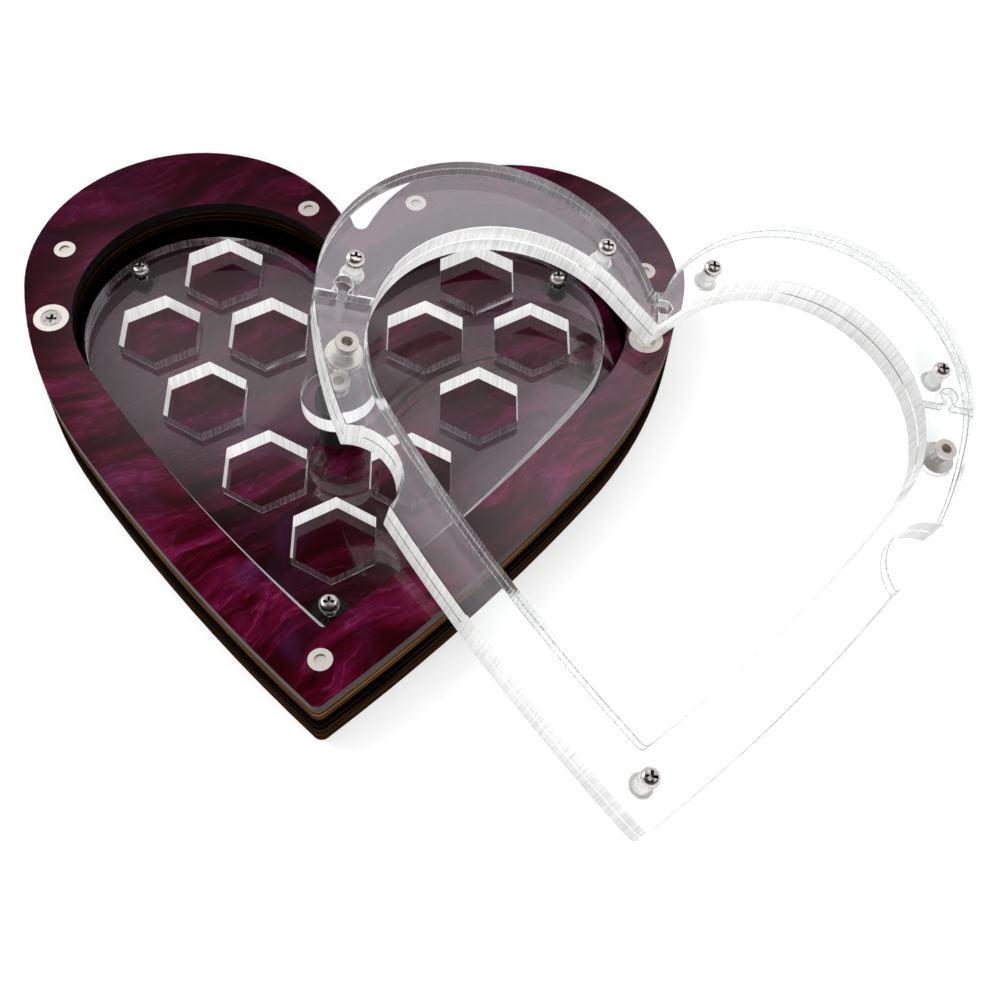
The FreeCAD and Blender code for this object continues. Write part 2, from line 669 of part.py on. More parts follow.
knob_post = drilled_cylinder("knob_post", "knob_post_diameter", "knob_post_height", barrel_hole, plate_top)
knob_disc = drilled_cylinder("knob_disc", "knob_disc_diameter", "clear_thickness", barrel_hole, post_top)
knob_nut_form = barrel_nut("knob_nut_form", size("knob_nut_length"))
knob_screw_form = flat_screw("knob_screw_form", size("knob_screw_end"))
nut_seat = Placement(Vector(0, knob_spot.y, disc_top), upright)
screw_seat = Placement(Vector(0, knob_spot.y, 0), upside_down)
knob_nut = group("knob_nut", knob_nut_form, [nut_seat], insert_place)
knob_screw = group("knob_screw", knob_screw_form, [screw_seat], insert_place)


# Ring: where it leans. It stands on the table and on the edge of the rim.
def depth_inside(point, arcs):
    """How far a point lies inside a curve made of the right half's arcs and their mirror image."""
    x = abs(point.x)
    for centre, radius, text, start, end in arcs:
        last = arcs[-1][0] is centre
        if last or point.y >= centre.y:
            break
        if math.degrees(math.atan2(centre.y - point.y, x - centre.x)) <= end:
            break
    return radius - math.hypot(x - centre.x, point.y - centre.y)


def on_band(point, outside, inside):
    """True over the heart's band between its outer edge and its well."""
    if depth_inside(point, outside) < 0:
        return False
    corner, slope_end = cleft_corner(0.0)
    if abs(point.x) < slope_end.x and point.y > 0:
        return point.y > corner.y + abs(point.x) * math.tan(math.radians(size("cleft_slope")))
    return depth_inside(point, inside) < 0


def edge_points(arcs, steps=40):
    """Points along both halves of a curve."""
    points = []
    for centre, radius, text, start, end in arcs:
        for k in range(steps + 1):
            spoke = down(start + (end - start) * k / steps) * radius
            points.append(centre + spoke)
            points.append(Vector(-centre.x - spoke.x, centre.y + spoke.y, 0))
    return points


def leaning_placement():
    """Tilt and height of the ring, found by halving the tilt's interval."""
    outside = outer_arcs()
    inside = inner_arcs(0.0, "")
    outer_edge = edge_points(outside)
    edges = outer_edge + edge_points(inside)
    heading = math.radians(size("lean_heading"))
    axis = Vector(-math.sin(heading), math.cos(heading), 0)
    turn = Rotation(Vector(0, 0, 1), size("ring_heading"))
    right_edge = size("lobe_x") + size("lobe_radius")
    place = Vector(right_edge - size("ring_overlap"), size("ring_shift"), 0)
    clearance = size("rest_clearance")
    flattest, steepest = 0.0, 60.0
    halvings = 30
    for _ in range(halvings):
        tilt = (flattest + steepest) / 2
        rotation = Rotation(axis, tilt).multiply(turn)
        moved = [rotation.multVec(p) + place for p in edges]
        lift = clearance - min(p.z for p in moved)
        frame = Placement(place + Vector(0, 0, lift), rotation)
        back = frame.inverse()
        normal = rotation.multVec(Vector(0, 0, 1))
        room = math.inf
        for p in moved:
            if on_band(p, outside, inside):
                room = min(room, p.z + lift - case_height)
        for p in outer_edge:
            height = normal.dot(frame.Base - p) / normal.z
            over = Vector(p.x, p.y, height)
            if on_band(back.multVec(over), outside, inside):
                room = min(room, height - case_height)
        if room < clearance:
            flattest = tilt
        else:
            steepest = tilt
            best = frame
    return best


ring_place = leaning_placement()
ring_layers = 2
layer_top = size("clear_thickness")
ring_top = layer_top * ring_layers


def scooped(body, name):
    """Finger notches in both sides of a layer."""
    sketch = new_sketch(body, name)
    for place in scoops:
        add_hole(sketch, place, "Sizes.scoop_radius")
    pocket(body, sketch, "Sizes.clear_thickness", True)


# Lower layer: one sheet, with the nut flanges and the magnets let in from below
lower = plate(
    "ring_lower_layer",
    "Sizes.clear_thickness",
    add_outer,
    [(case_nuts, barrel_hole), (closing_magnets, barrel_hole)],
    well=True,
)
scooped(lower, "lower_scoops")
counterbore(lower, "lower_flanges", case_nuts, flange_hole, "Sizes.nut_flange_height")
counterbore(lower, "lower_magnets", closing_magnets, magnet_hole, "Sizes.rim_thickness")
lower.Placement = ring_place

# Upper layer: cut into three pieces that lock like a jigsaw
upper = plate(
    "ring_upper_blank",
    "Sizes.clear_thickness",
    add_outer,
    [(case_nuts, barrel_hole), (closing_magnets, barrel_hole)],
    well=True,
)
scooped(upper, "upper_scoops")


def tool_box(label, x0, x1, y0, y1):
    """A block the height of the layer."""
    block = doc.addObject("Part::Box", label)
    block.Length = x1 - x0
    block.Width = y1 - y0
    block.setExpression("Height", "Sizes.clear_thickness")
    block.Placement = Placement(Vector(x0, y0, 0), Rotation())
    return block


def tool_cylinder(label, x, y, radius):
    block = doc.addObject("Part::Cylinder", label)
    block.setExpression("Radius", radius)
    block.setExpression("Height", "Sizes.clear_thickness")
    block.Placement = Placement(Vector(x, y, 0), Rotation())
    return block


def tool_hexagon(label, x, y, radius):
    block = doc.addObject("Part::Prism", label)
    block.Polygon = 6
    block.setExpression("Circumradius", radius)
    block.setExpression("Height", "Sizes.clear_thickness")
    block.Placement = Placement(Vector(x, y, 0), Rotation())
    return block


reach = 3 * size("lobe_radius")  # past the ring's edge on every side
seam_y = -size("seam_drop")
gap = size("seam_gap")
tab_y = seam_y + size("tab_rise")
neck = size("tab_neck") / 2


def side_tabs(label, grow, grow_expression):
    """Both round tabs on their necks, standing up from the side seams."""
    tools = []
    for sign, side in ((-1, "left"), (1, "right")):
        x = sign * size("tab_x")
        name = "%s_%s" % (label, side)
        tools.append(tool_cylinder(name + "_round", x, tab_y, "Sizes.tab_radius" + grow_expression))
        foot = seam_y - size("tab_rise")
        tools.append(tool_box(name + "_neck", x - neck - grow, x + neck + grow, foot, tab_y))
    return tools


def shape_of(kind, label, **links):
    feature = doc.addObject(kind, label)
    for name, value in links.items():
        setattr(feature, name, value)
    return feature


point_region = shape_of(
    "Part::MultiFuse",
    "point_region",
    Shapes=[tool_box("point_block", -reach, reach, -2 * reach, seam_y - gap)] + side_tabs("tab", 0.0, ""),
)
point_room = shape_of(
    "Part::MultiFuse",
    "point_room",
    Shapes=[tool_box("point_room_block", -reach, reach, -2 * reach, seam_y)]
    + side_tabs("tab_room", gap, " + Sizes.seam_gap"),
)
key_region = tool_hexagon("key", size("key_shift"), size("key_y"), "Sizes.key_radius")
key_room = tool_hexagon("key_room", size("key_shift"), size("key_y"), "Sizes.key_radius + Sizes.seam_gap")
left_region = shape_of(
    "Part::MultiFuse",
    "left_region",
    Shapes=[tool_box("left_block", -reach, -gap / 2, -reach, reach), key_region],
)
right_block = tool_box("right_block", gap / 2, reach, -reach, reach)
right_region = shape_of("Part::Cut", "right_region", Base=right_block, Tool=key_room)
lobes_blank = shape_of("Part::Cut", "lobes_blank", Base=upper, Tool=point_room)

upper_place = ring_place.multiply(Placement(Vector(0, 0, layer_top), Rotation()))
ring_upper_point = shape_of("Part::Common", "ring_upper_point", Base=upper, Tool=point_region)
ring_upper_left = shape_of("Part::Common", "ring_upper_left", Base=lobes_blank, Tool=left_region)
ring_upper_right = shape_of("Part::Common", "ring_upper_right", Base=lobes_blank, Tool=right_region)
for piece in (ring_upper_point, ring_upper_left, ring_upper_right):
    piece.Label = piece.Name
    piece.Placement = upper_place

# Fasteners of the ring
ring_nut = barrel_nut("ring_nut_form", size("ring_nut_length"))
ring_screw = pan_screw("ring_screw_form", size("ring_screw_length"))
ring_magnet_screw = flat_screw("ring_magnet_screw_form", size("ring_magnet_screw_length"))
ring_nuts = group(
    "ring_nuts",
    ring_nut,
    [Placement(spot(p, size("nut_flange_height")), upside_down) for p in case_nuts],
    ring_place,
)
ring_screws = group(
    "ring_screws", ring_screw, [Placement(spot(p, ring_top), upright) for p in case_nuts], ring_place
)
ring_magnets = group(
    "ring_magnets", rim_magnet, [Placement(spot(p), upside_down) for p in closing_magnets], ring_place
)
ring_magnet_screws = group(
    "ring_magnet_screws",
    ring_magnet_screw,
    [Placement(spot(p, magnet_head), upside_down) for p in closing_magnets],
    ring_place,
)
ring_magnet_nuts = group(
    "ring_magnet_nuts",
    ring_nut,
    [Placement(spot(p, ring_top), upright) for p in closing_magnets],
    ring_place,
)

doc.recompute()

# Checks before anything is written
for item in doc.Objects:
    if "Invalid" in item.State or "Error" in item.State:
        raise RuntimeError("%s is %s" % (item.Name, item.State))

nodes = [sunk_board] + frame_plies + [
    rim_plate, floor_panel, rim_nuts, case_screws, rim_magnets, rim_magnet_screws, floor_magnets,
    insert_plate, insert_screw_group, knob_post, knob_disc, knob_nut, knob_screw,
    lower, ring_upper_left, ring_upper_right, ring_upper_point,
    ring_nuts, ring_screws, ring_magnets, ring_magnet_screws, ring_magnet_nuts,
]
os.makedirs("parts", exist_ok=True)
for node in nodes:
    if node.Shape.isNull() or not node.Shape.isValid():
        raise RuntimeError("bad shape: " + node.Label)
for node in nodes:
    node.Shape.exportStep("parts/%s.step" % node.Label)
    box = node.Shape.BoundBox
    print("%-20s solids %2d  volume %10.1f  z %.2f to %.2f" % (
        node.Label, len(node.Shape.Solids), node.Shape.Volume, box.ZMin, box.ZMax))
print("case height %.2f, ring tilt %.2f degrees, ring origin height %.2f" % (
    case_height, math.degrees(ring_place.Rotation.Angle), ring_place.Base.z))
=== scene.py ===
# %% [markdown]
# A heart-shaped dice tray: a case of plywood sheets with a marbled acrylic rim, a clear plate
# with dice pockets that lies in it, and a clear ring that closes on the rim and here leans on
# the case's side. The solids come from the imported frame, already at their real size, so this
# lesson is about finish: clear, marbled and metal parts next to scorched wood.

# %% Load the frame
import math

import bpy
from mathutils import Matrix, Vector


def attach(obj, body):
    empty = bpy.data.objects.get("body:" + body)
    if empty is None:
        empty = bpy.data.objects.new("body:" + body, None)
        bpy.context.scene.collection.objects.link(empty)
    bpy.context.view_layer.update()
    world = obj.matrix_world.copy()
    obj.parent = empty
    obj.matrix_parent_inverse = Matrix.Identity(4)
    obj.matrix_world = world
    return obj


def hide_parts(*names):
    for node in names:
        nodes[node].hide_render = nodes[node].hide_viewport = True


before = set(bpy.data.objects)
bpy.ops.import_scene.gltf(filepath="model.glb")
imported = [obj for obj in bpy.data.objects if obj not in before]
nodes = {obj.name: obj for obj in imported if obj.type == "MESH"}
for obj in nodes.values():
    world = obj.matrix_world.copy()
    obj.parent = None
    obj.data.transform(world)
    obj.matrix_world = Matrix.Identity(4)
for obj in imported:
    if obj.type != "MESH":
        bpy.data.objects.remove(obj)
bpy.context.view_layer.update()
MM = 0.001

# %% [markdown]
# Every finish below starts from colours as a paint chart gives them. Blender works with
# light itself, so one function turns a chart colour into that. Another adds a shader node
# with its settings and links, which keeps each material as short as its recipe, and one
# turns the real size of a pattern's cells into a noise scale.


# %% Colour and node helpers
def colour(code):
    """A chart colour such as 'c8a070' as linear light, with full alpha."""
    parts = [int(code[k : k + 2], 16) / 255 for k in (0, 2, 4)]
    light = (p / 12.92 if p <= 0.04045 else ((p + 0.055) / 1.055) ** 2.4 for p in parts)
    return (*light, 1.0)


def cells(size):
    """The noise scale whose cells are about this size in metres."""
    return 1 / size


def add(tree, kind, settings=None, **links):
    """Adds a shader node with its settings and links.

    A setting is a socket's name, _ and a socket's number, or a property. A link is a socket.
    """
    node = tree.nodes.new("ShaderNode" + kind)
    for name, value in (settings or {}).items():
        if name[0] == "_":
            node.inputs[int(name[1:])].default_value = value
        elif name in node.inputs:
            node.inputs[name].default_value = value
        else:
            setattr(node, name, value)
    for name, source in links.items():
        socket = node.inputs[int(name[1:]) if name[0] == "_" else name.replace("_", " ")]
        tree.links.new(source, socket)
    return node


def new_material(name):
    """An empty node material with its output node."""
    material = bpy.data.materials.new(name)
    material.use_nodes = True
    tree = material.node_tree
    tree.nodes.clear()
    return material, tree, tree.nodes.new("ShaderNodeOutputMaterial")


def ramp(tree, factor, stops):
    """A colour ramp over (position, chart colour) stops."""
    node = add(tree, "ValToRGB", Fac=factor)
    elements = node.color_ramp.elements
    for k, (position, code) in enumerate(stops):
        element = elements[k] if k < 2 else elements.new(position)
        element.position = position
        element.color = colour(code)
    return node.outputs["Color"]


def dress(material, *names):
    """Gives CAD nodes one material."""
    for name in names:
        data = nodes[name].data
        data.materials.clear()
        data.materials.append(material)


print("helpers ready")

# %% [markdown]
# The rim and the floor of the well are cast acrylic with a pearl pigment that was stirred
# while it set: a deep burgundy that flows into magenta, with thin mauve wisps where the
# pigment lies thick. A wide noise pushes the pattern's place about, so that a second,
# stretched noise runs slantwise in streams and curls. Towards the lobes the sheet is drawn
# darker. The floor's colours are a darker copy of the rim's, as painted shade of the well.
# Cast acrylic's index of refraction is 1.49, and its moulded faces are nearly as smooth as
# glass. The sawn edge is matt and shows the sheet's dark base. Round the well it is darker
# still, which is painted shade.


# %% Pearl acrylic
CASE_MIDDLE = (0.0, -45.0 * MM, 0.0)
STREAM = (32 * MM, 8 * MM, 20 * MM)
STREAM_SLANT = 0.65
PUSH_CELL = 50 * MM
PUSH_REACH = 30 * MM
WISP_CELL = 25 * MM


def pushed_about(tree, place):
    """The place, moved by up to half the reach of the push by a wide noise."""
    noise = add(tree, "TexNoise", {"Scale": cells(PUSH_CELL), "Detail": 3.0}, Vector=place)
    middle = {"operation": "SUBTRACT", "_1": (0.5, 0.5, 0.5)}
    centred = add(tree, "VectorMath", middle, _0=noise.outputs["Color"])
    moved = {"operation": "MULTIPLY_ADD", "_1": (PUSH_REACH, PUSH_REACH, PUSH_REACH)}
    return add(tree, "VectorMath", moved, _0=centred.outputs[0], _2=place).outputs[0]


def pearl_acrylic(name, seed, stops, wisp, thread, far):
    """Marbled sheet: the streams' stops, then its wisps' colour, its threads' and its far end's."""
    material, tree, out = new_material(name)
    place = add(tree, "TexCoord").outputs["Object"]
    start = add(tree, "Mapping", {"Location": (seed, seed * 0.7, seed)}, Vector=place).outputs[0]
    flow = pushed_about(tree, start)
    along = {"vector_type": "TEXTURE", "Scale": STREAM, "Rotation": (0, 0, STREAM_SLANT)}
    streams = add(tree, "Mapping", along, Vector=flow).outputs[0]
    fine = {"Scale": 1.0, "Detail": 6.0, "Roughness": 0.58, "Distortion": 0.35}
    body = add(tree, "TexNoise", fine, Vector=streams)
    face = ramp(tree, body.outputs["Fac"], stops)
    patch = add(tree, "TexNoise", {"Scale": cells(WISP_CELL), "Detail": 3.0}, Vector=flow)
    some = {"interpolation_type": "SMOOTHSTEP", "From Min": 0.5, "From Max": 0.72, "To Max": 0.5}
    some = add(tree, "MapRange", some, Value=patch.outputs["Fac"]).outputs[0]
    wispy = {"data_type": "RGBA", "_7": colour(wisp)}
    face = add(tree, "Mix", wispy, Factor=some, _6=face).outputs[2]
    shifted = add(tree, "Mapping", {"Location": (3.1, 1.7, 0.4)}, Vector=streams).outputs[0]
    finer = {"Scale": 1.6, "Detail": 5.0, "Roughness": 0.55}
    threads = add(tree, "TexNoise", finer, Vector=shifted)
    middle = add(tree, "Math", {"operation": "SUBTRACT", "_1": 0.5}, _0=threads.outputs["Fac"])
    ridge = add(tree, "Math", {"operation": "ABSOLUTE"}, _0=middle.outputs[0])
    thin = {"interpolation_type": "SMOOTHSTEP", "From Max": 0.03, "To Min": 0.4, "To Max": 0.0}
    thin = add(tree, "MapRange", thin, Value=ridge.outputs[0])
    bright = add(tree, "MapRange", {"From Min": 0.45, "From Max": 0.65}, Value=body.outputs["Fac"])
    amount = add(tree, "Math", {"operation": "MULTIPLY"}, _0=thin.outputs[0], _1=bright.outputs[0])
    thready = {"data_type": "RGBA", "_7": colour(thread)}
    face = add(tree, "Mix", thready, Factor=amount.outputs[0], _6=face).outputs[2]
    # The sheet is drawn darker towards the lobes.
    depth = add(tree, "SeparateXYZ", Vector=place).outputs["Y"]
    towards_lobes = {"interpolation_type": "SMOOTHSTEP", "To Max": 0.55}
    towards_lobes["From Min"], towards_lobes["From Max"] = -100 * MM, 30 * MM
    towards_lobes = add(tree, "MapRange", towards_lobes, Value=depth).outputs[0]
    darker = {"data_type": "RGBA", "_7": colour(far)}
    face = add(tree, "Mix", darker, Factor=towards_lobes, _6=face).outputs[2]
    shader = add(tree, "BsdfPrincipled", {"Roughness": 0.06, "IOR": 1.49}, Base_Color=face)
    tree.links.new(shader.outputs[0], out.inputs["Surface"])
    return material


STREAM_STOPS = (0.30, 0.42, 0.50, 0.58, 0.72)
rim_stops = list(zip(STREAM_STOPS, ("180002", "280006", "3a0010", "500626", "6c1844")))
# The floor's stops and tints are a darker copy of the rim's: painted shade of the well.
shaded_floor_stops = list(zip(STREAM_STOPS, ("140002", "220005", "30000d", "42051d", "661640")))
rim_tints = ("4c2048", "8c3464", "260e18")
shaded_floor_tints = ("3c1836", "7a3060", "260812")
pearls = {
    "rim_plate": pearl_acrylic("cast_pearl_acrylic_rim", 0.0, rim_stops, *rim_tints),
    "floor_panel": pearl_acrylic("cast_pearl_acrylic_floor_in_painted_shade", 0.37, shaded_floor_stops, *shaded_floor_tints),
}
sawn_edges = []
# The second, darker edge is for the walls that face into the well: painted shade.
for name, code in (("sawn", "22181d"), ("shaded_in_well", "0a0708")):
    material, tree, out = new_material(name + "_edge_of_pearl_acrylic")
    matt = {"Base Color": colour(code), "Roughness": 0.45, "IOR": 1.49}
    matt["Specular IOR Level"] = 0.15
    tree.links.new(add(tree, "BsdfPrincipled", matt).outputs[0], out.inputs["Surface"])
    sawn_edges.append(material)
for name, pearl in pearls.items():
    dress(pearl, name)
    for material in sawn_edges:
        nodes[name].data.materials.append(material)
    for face in nodes[name].data.polygons:
        outward = face.normal.dot(face.center - Vector(CASE_MIDDLE)) > 0
        face.material_index = 0 if abs(face.normal.z) > 0.5 else 1 if outward else 2
print("rim and floor finished")

# %% [markdown]
# The case's wall is plywood cut by a laser, which scorches the edge: a warm brown near the
# top with copper glue lines between the veneers, black in the middle and a dull brown at the
# foot. The height alone says which colour shows, and a noise stretched along the wall
# streaks it. Inside the well the wall is painted nearly black and its copper lines faint,
# which is painted shade. A wall's normal tells the two apart: it points away from the case's
# middle, or towards it.

# %% Scorched plywood
BOARDS = 6 * 2.8 * MM
FIBRE = (20 * MM, 20 * MM, MM / 1.4)
GLUE_LINES_MM = ((2.8, 0.2), (5.6, 0.2), (8.4, 0.1), (13.0, 0.4), (14.8, 1.0), (16.5, 0.5))
GLUE_HALF_MM = 0.25


def scorched_plywood(name):
    """Scorched edges of stacked boards: brown and black zones by height, with copper lines."""
    material, tree, out = new_material(name)
    place = add(tree, "TexCoord").outputs["Object"]
    stretch = {"Scale": [cells(size) for size in FIBRE]}
    flat = add(tree, "Mapping", stretch, Vector=place).outputs[0]
    fibres = {"Scale": 1.0, "Detail": 5.0, "Roughness": 0.65}
    grain = add(tree, "TexNoise", fibres, Vector=flat).outputs["Fac"]
    height = add(tree, "SeparateXYZ", Vector=place).outputs["Z"]
    share = add(tree, "Math", {"operation": "DIVIDE", "_1": BOARDS}, _0=height).outputs[0]
    foot = [(0.0, "2c1a0e"), (0.3, "1c110a"), (0.36, "070504")]
    top = [(0.7, "060403"), (0.75, "2e1e10"), (0.86, "48311b"), (1.0, "33230f")]
    zone = ramp(tree, share, foot + top)
    streak = {"From Min": 0.3, "From Max": 0.72, "To Min": 0.25, "To Max": 1.6}
    streak = add(tree, "MapRange", streak, Value=grain).outputs[0]
    lines = add(tree, "ValToRGB", Fac=share)
    spots = lines.color_ramp.elements
    spots[0].color = spots[1].color = (0, 0, 0, 1)
    for height_mm, strength in GLUE_LINES_MM:
        for offset_mm, value in ((-GLUE_HALF_MM, 0.0), (0.0, strength), (GLUE_HALF_MM, 0.0)):
            element = spots.new((height_mm + offset_mm) * MM / BOARDS)
            element.color = (value, value, value, 1)
    normal = add(tree, "NewGeometry").outputs["Normal"]
    from_middle = {"operation": "SUBTRACT", "_1": CASE_MIDDLE}
    away = add(tree, "VectorMath", from_middle, _0=place).outputs[0]
    facing = add(tree, "VectorMath", {"operation": "DOT_PRODUCT"}, _0=normal, _1=away)
    facing = facing.outputs["Value"]
    # Walls facing into the well drop to a tenth and their copper lines grow faint: painted shade.
    outside = {"From Min": -MM, "From Max": MM, "To Min": 0.1, "To Max": 1.0}
    outside = add(tree, "MapRange", outside, Value=facing).outputs[0]
    tone = add(tree, "Math", {"operation": "MULTIPLY"}, _0=streak, _1=outside).outputs[0]
    wall = add(tree, "VectorMath", {"operation": "SCALE"}, _0=zone, Scale=tone).outputs[0]
    breaks = {"From Min": 0.35, "From Max": 0.6, "To Min": 0.1, "To Max": 0.9}
    breaks = add(tree, "MapRange", breaks, Value=grain).outputs[0]
    faint = {"From Min": 0.1, "From Max": 1.0, "To Min": 0.15, "To Max": 1.0}
    faint = add(tree, "MapRange", faint, Value=outside).outputs[0]
    times = {"operation": "MULTIPLY"}
    amount = add(tree, "Math", times, _0=lines.outputs["Color"], _1=breaks).outputs[0]
    amount = add(tree, "Math", times, _0=amount, _1=faint).outputs[0]
    copper = {"data_type": "RGBA", "_7": colour("bb8a5c")}
    mixed = add(tree, "Mix", copper, Factor=amount, _6=wall).outputs[2]
    matt = {"Roughness": 0.6, "IOR": 1.5, "Specular IOR Level": 0.0}
    shader = add(tree, "BsdfPrincipled", matt, Base_Color=mixed)
    bump = add(tree, "Bump", {"Strength": 0.35, "Distance": 0.3 * MM}, Height=grain)
    tree.links.new(bump.outputs[0], shader.inputs["Normal"])
    tree.links.new(shader.outputs[0], out.inputs["Surface"])
    return material


frame_sheets = ["frame_ply_%d" % k for k in range(1, 6)]
dress(scorched_plywood("laser_scorched_plywood"), "bottom_board", *frame_sheets)
print("plywood finished")

# %% [markdown]
# The plate, the ring and the knob's disc are clear acrylic. It isn't painted see-through:
# light is bent by it, and that is what draws its bright edges. Its flat faces are moulded
# smooth. The laser leaves upright ripples on the cut walls, finer than a render shows, so
# they are drawn about half a millimetre apart. A wall seen from outside shows them as white
# frost, and one seen through the sheet as grey lines, so there are two finishes; the grey
# one is a darker copy of the frost, which is painted shade. Light that runs inside a sheet
# leaves it at the cut, and a weak painted glow of the frost's own stands for that. Clear
# pieces throw no shadow here, so the ring's frost is painted dimmer near the table instead,
# as painted shade. The drilled holes are rough enough to look like frost.


# %% Clear acrylic
CLEAR = "fcfdfd"
RIPPLE = (MM / 1.9, MM / 1.9, 25 * MM)


def clear_acrylic(name, roughness, clarity=1.0, light=CLEAR, glow=0.0):
    """Acrylic that lets the clarity's share of light through, with its tree and its shader."""
    material, tree, out = new_material(name)
    settings = {"Roughness": roughness, "IOR": 1.49, "Transmission Weight": clarity}
    settings["Base Color"] = colour(light)
    settings["Emission Color"] = (1, 1, 1, 1)
    settings["Emission Strength"] = glow
    shader = add(tree, "BsdfPrincipled", settings)
    tree.links.new(shader.outputs[0], out.inputs["Surface"])
    return material, tree, shader


def laser_cut(name, roughness, clarity, turn, dark, light, low=1.0, glow=0.0):
    """Acrylic with ripples from dark to light that are upright once the sheet is turned level.

    Near the table its colour drops to the low share, as painted shade.
    """
    material, tree, shader = clear_acrylic(name, roughness, clarity, light, glow)
    place = add(tree, "TexCoord").outputs["Object"]
    level = add(tree, "Mapping", {"Rotation": turn}, Vector=place).outputs[0]
    stretch = {"Scale": [cells(size) for size in RIPPLE]}
    upright = add(tree, "Mapping", stretch, Vector=level).outputs[0]
    lines = add(tree, "TexNoise", {"Scale": 1.0, "Detail": 2.0}, Vector=upright).outputs["Fac"]
    tinted = ramp(tree, lines, [(0.36, dark), (0.6, light)])
    height = add(tree, "SeparateXYZ", Vector=place).outputs["Z"]
    # Near the table the colour is scaled down to the low share: painted shade.
    table_shade = {"From Min": 12 * MM, "From Max": 34 * MM, "To Min": low, "To Max": 1.0}
    table_shade = add(tree, "MapRange", table_shade, Value=height).outputs[0]
    tinted = add(tree, "VectorMath", {"operation": "SCALE"}, _0=tinted, Scale=table_shade).outputs[0]
    tree.links.new(tinted, shader.inputs["Base Color"])
    bump = add(tree, "Bump", {"Strength": 0.5, "Distance": 0.1 * MM}, Height=lines)
    tree.links.new(bump.outputs[0], shader.inputs["Normal"])
    return material


RING_LEAN = math.radians(12.63)
RING_HEADING = math.radians(-33.0)
RING_TURN = math.radians(-2.4)
lean_axis = Vector((-math.sin(RING_HEADING), math.cos(RING_HEADING), 0))
ring_matrix = Matrix.Rotation(RING_LEAN, 3, lean_axis) @ Matrix.Rotation(RING_TURN, 3, "Z")
ring_up = ring_matrix @ Vector((0, 0, 1))
plate_up = Vector((0, 0, 1))
level_again = tuple(ring_matrix.transposed().to_euler())

face_clear = clear_acrylic("moulded_face_of_clear_acrylic", 0.0)[0]
frosted_hole = clear_acrylic("drilled_hole_in_clear_acrylic", 0.5, 0.4)[0]
cut_walls = {}
# The frost's glow is painted light, and the grey copy's darker tints are painted shade.
for sheet, turn, low, glow, shaded_greys in (
    ("level", (0.0, 0.0, 0.0), 1.0, 0.3, ("645e68", "bab2b8")),
    ("leaning", level_again, 0.5, 0.2, ("8a8c8c", "dcdedd")),
):
    frosty, clear = (word + "_laser_cut_of_%s_acrylic" % sheet for word in ("frosty", "clear"))
    frost = laser_cut(frosty, 0.2, 0.2, turn, "d8dad8", "fbfbfa", low, glow)
    grey = laser_cut(clear, 0.1, 0.82, turn, *shaded_greys)
    cut_walls[sheet] = (frost, grey)
print("clear finishes ready")

# %% [markdown]
# The clear sheets touch each other in the CAD model, face on face. Real sheets have a film
# of air between them, and that film is what makes a seam shine, so each clear piece is a
# copy of its CAD solid, drawn in by two hundredths of a millimetre. Its edges are broken by
# a fifth of a millimetre, as they come off the laser, which draws the thin bright lines.
# The copy is made with the operators one would click: merge, dissolve, shrink and bevel.
# Then each face gets its finish by its normal: flat faces are moulded and walls are cut.
# Which of the two cut finishes a wall has is a choice for the photographed view alone: the
# walls that face its camera are frosty, the others grey, a darker copy that is painted shade.
# The real walls are all cut alike.

# %% Clear pieces
AIR = 0.02 * MM
BROKEN_EDGE = 0.2 * MM
HOLE_REACH = 3.4 * MM
FLAT = 0.85
UPRIGHT = 0.5
VIEWER = Vector((32.845, -280.621, 329.806)) * MM
MOULDED_SLOT, FROSTY_SLOT, SHADED_GREY_SLOT, BORE_SLOT = range(4)


def clear_copy(node, body, up, sheet, holes=(), bore=face_clear):
    """Stands a clear piece in a node's place. Walls near a hole's axis get the bore's finish."""
    bpy.ops.object.select_all(action="DESELECT")
    piece = nodes[node].copy()
    piece.data = nodes[node].data.copy()
    piece.name = "clear_" + node
    bpy.context.scene.collection.objects.link(piece)
    bpy.context.view_layer.objects.active = piece
    piece.select_set(True)
    bpy.ops.mesh.customdata_custom_splitnormals_clear()
    bpy.ops.object.mode_set(mode="EDIT")
    bpy.ops.mesh.select_all(action="SELECT")
    bpy.ops.mesh.remove_doubles(threshold=0.001 * MM)
    bpy.ops.mesh.dissolve_limited(angle_limit=math.radians(0.5))
    bpy.ops.mesh.select_all(action="SELECT")
    bpy.ops.transform.shrink_fatten(value=-AIR, use_even_offset=True)
    bpy.ops.object.mode_set(mode="OBJECT")
    edge = piece.modifiers.new("broken edge", "BEVEL")
    edge.width = BROKEN_EDGE
    edge.segments = 1
    edge.limit_method = "ANGLE"
    edge.angle_limit = math.radians(40)
    bpy.ops.object.modifier_apply(modifier=edge.name)
    bpy.ops.object.shade_smooth_by_angle(angle=math.radians(30))
    piece.data.materials.clear()
    for material in (face_clear, *cut_walls[sheet], bore):
        piece.data.materials.append(material)
    for face in piece.data.polygons:
        off_axis = min(((face.center - hole).cross(up).length for hole in holes), default=1.0)
        slope = abs(face.normal.dot(up))
        if slope > FLAT:
            face.material_index = MOULDED_SLOT
        elif off_axis < HOLE_REACH:
            face.material_index = BORE_SLOT
        # Walls turned from the camera get the grey copy, which is painted shade.
        elif face.normal.xy.dot((VIEWER - face.center).xy) < 0:
            face.material_index = SHADED_GREY_SLOT
        else:
            face.material_index = FROSTY_SLOT if slope < UPRIGHT else MOULDED_SLOT
    piece.visible_shadow = False
    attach(piece, body)
    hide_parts(node)
    print(piece.name, "faces:", len(piece.data.polygons))


print("drawn in by", AIR / MM, "mm, edges broken by", BROKEN_EDGE / MM, "mm")

# %% [markdown]
# The drilled holes are found by what sits in them. A node such as the ring's nuts is several
# loose solids in one mesh of loose triangles, so corners at the same place are joined into
# sets first, then corners that share an edge, and each set is one solid.


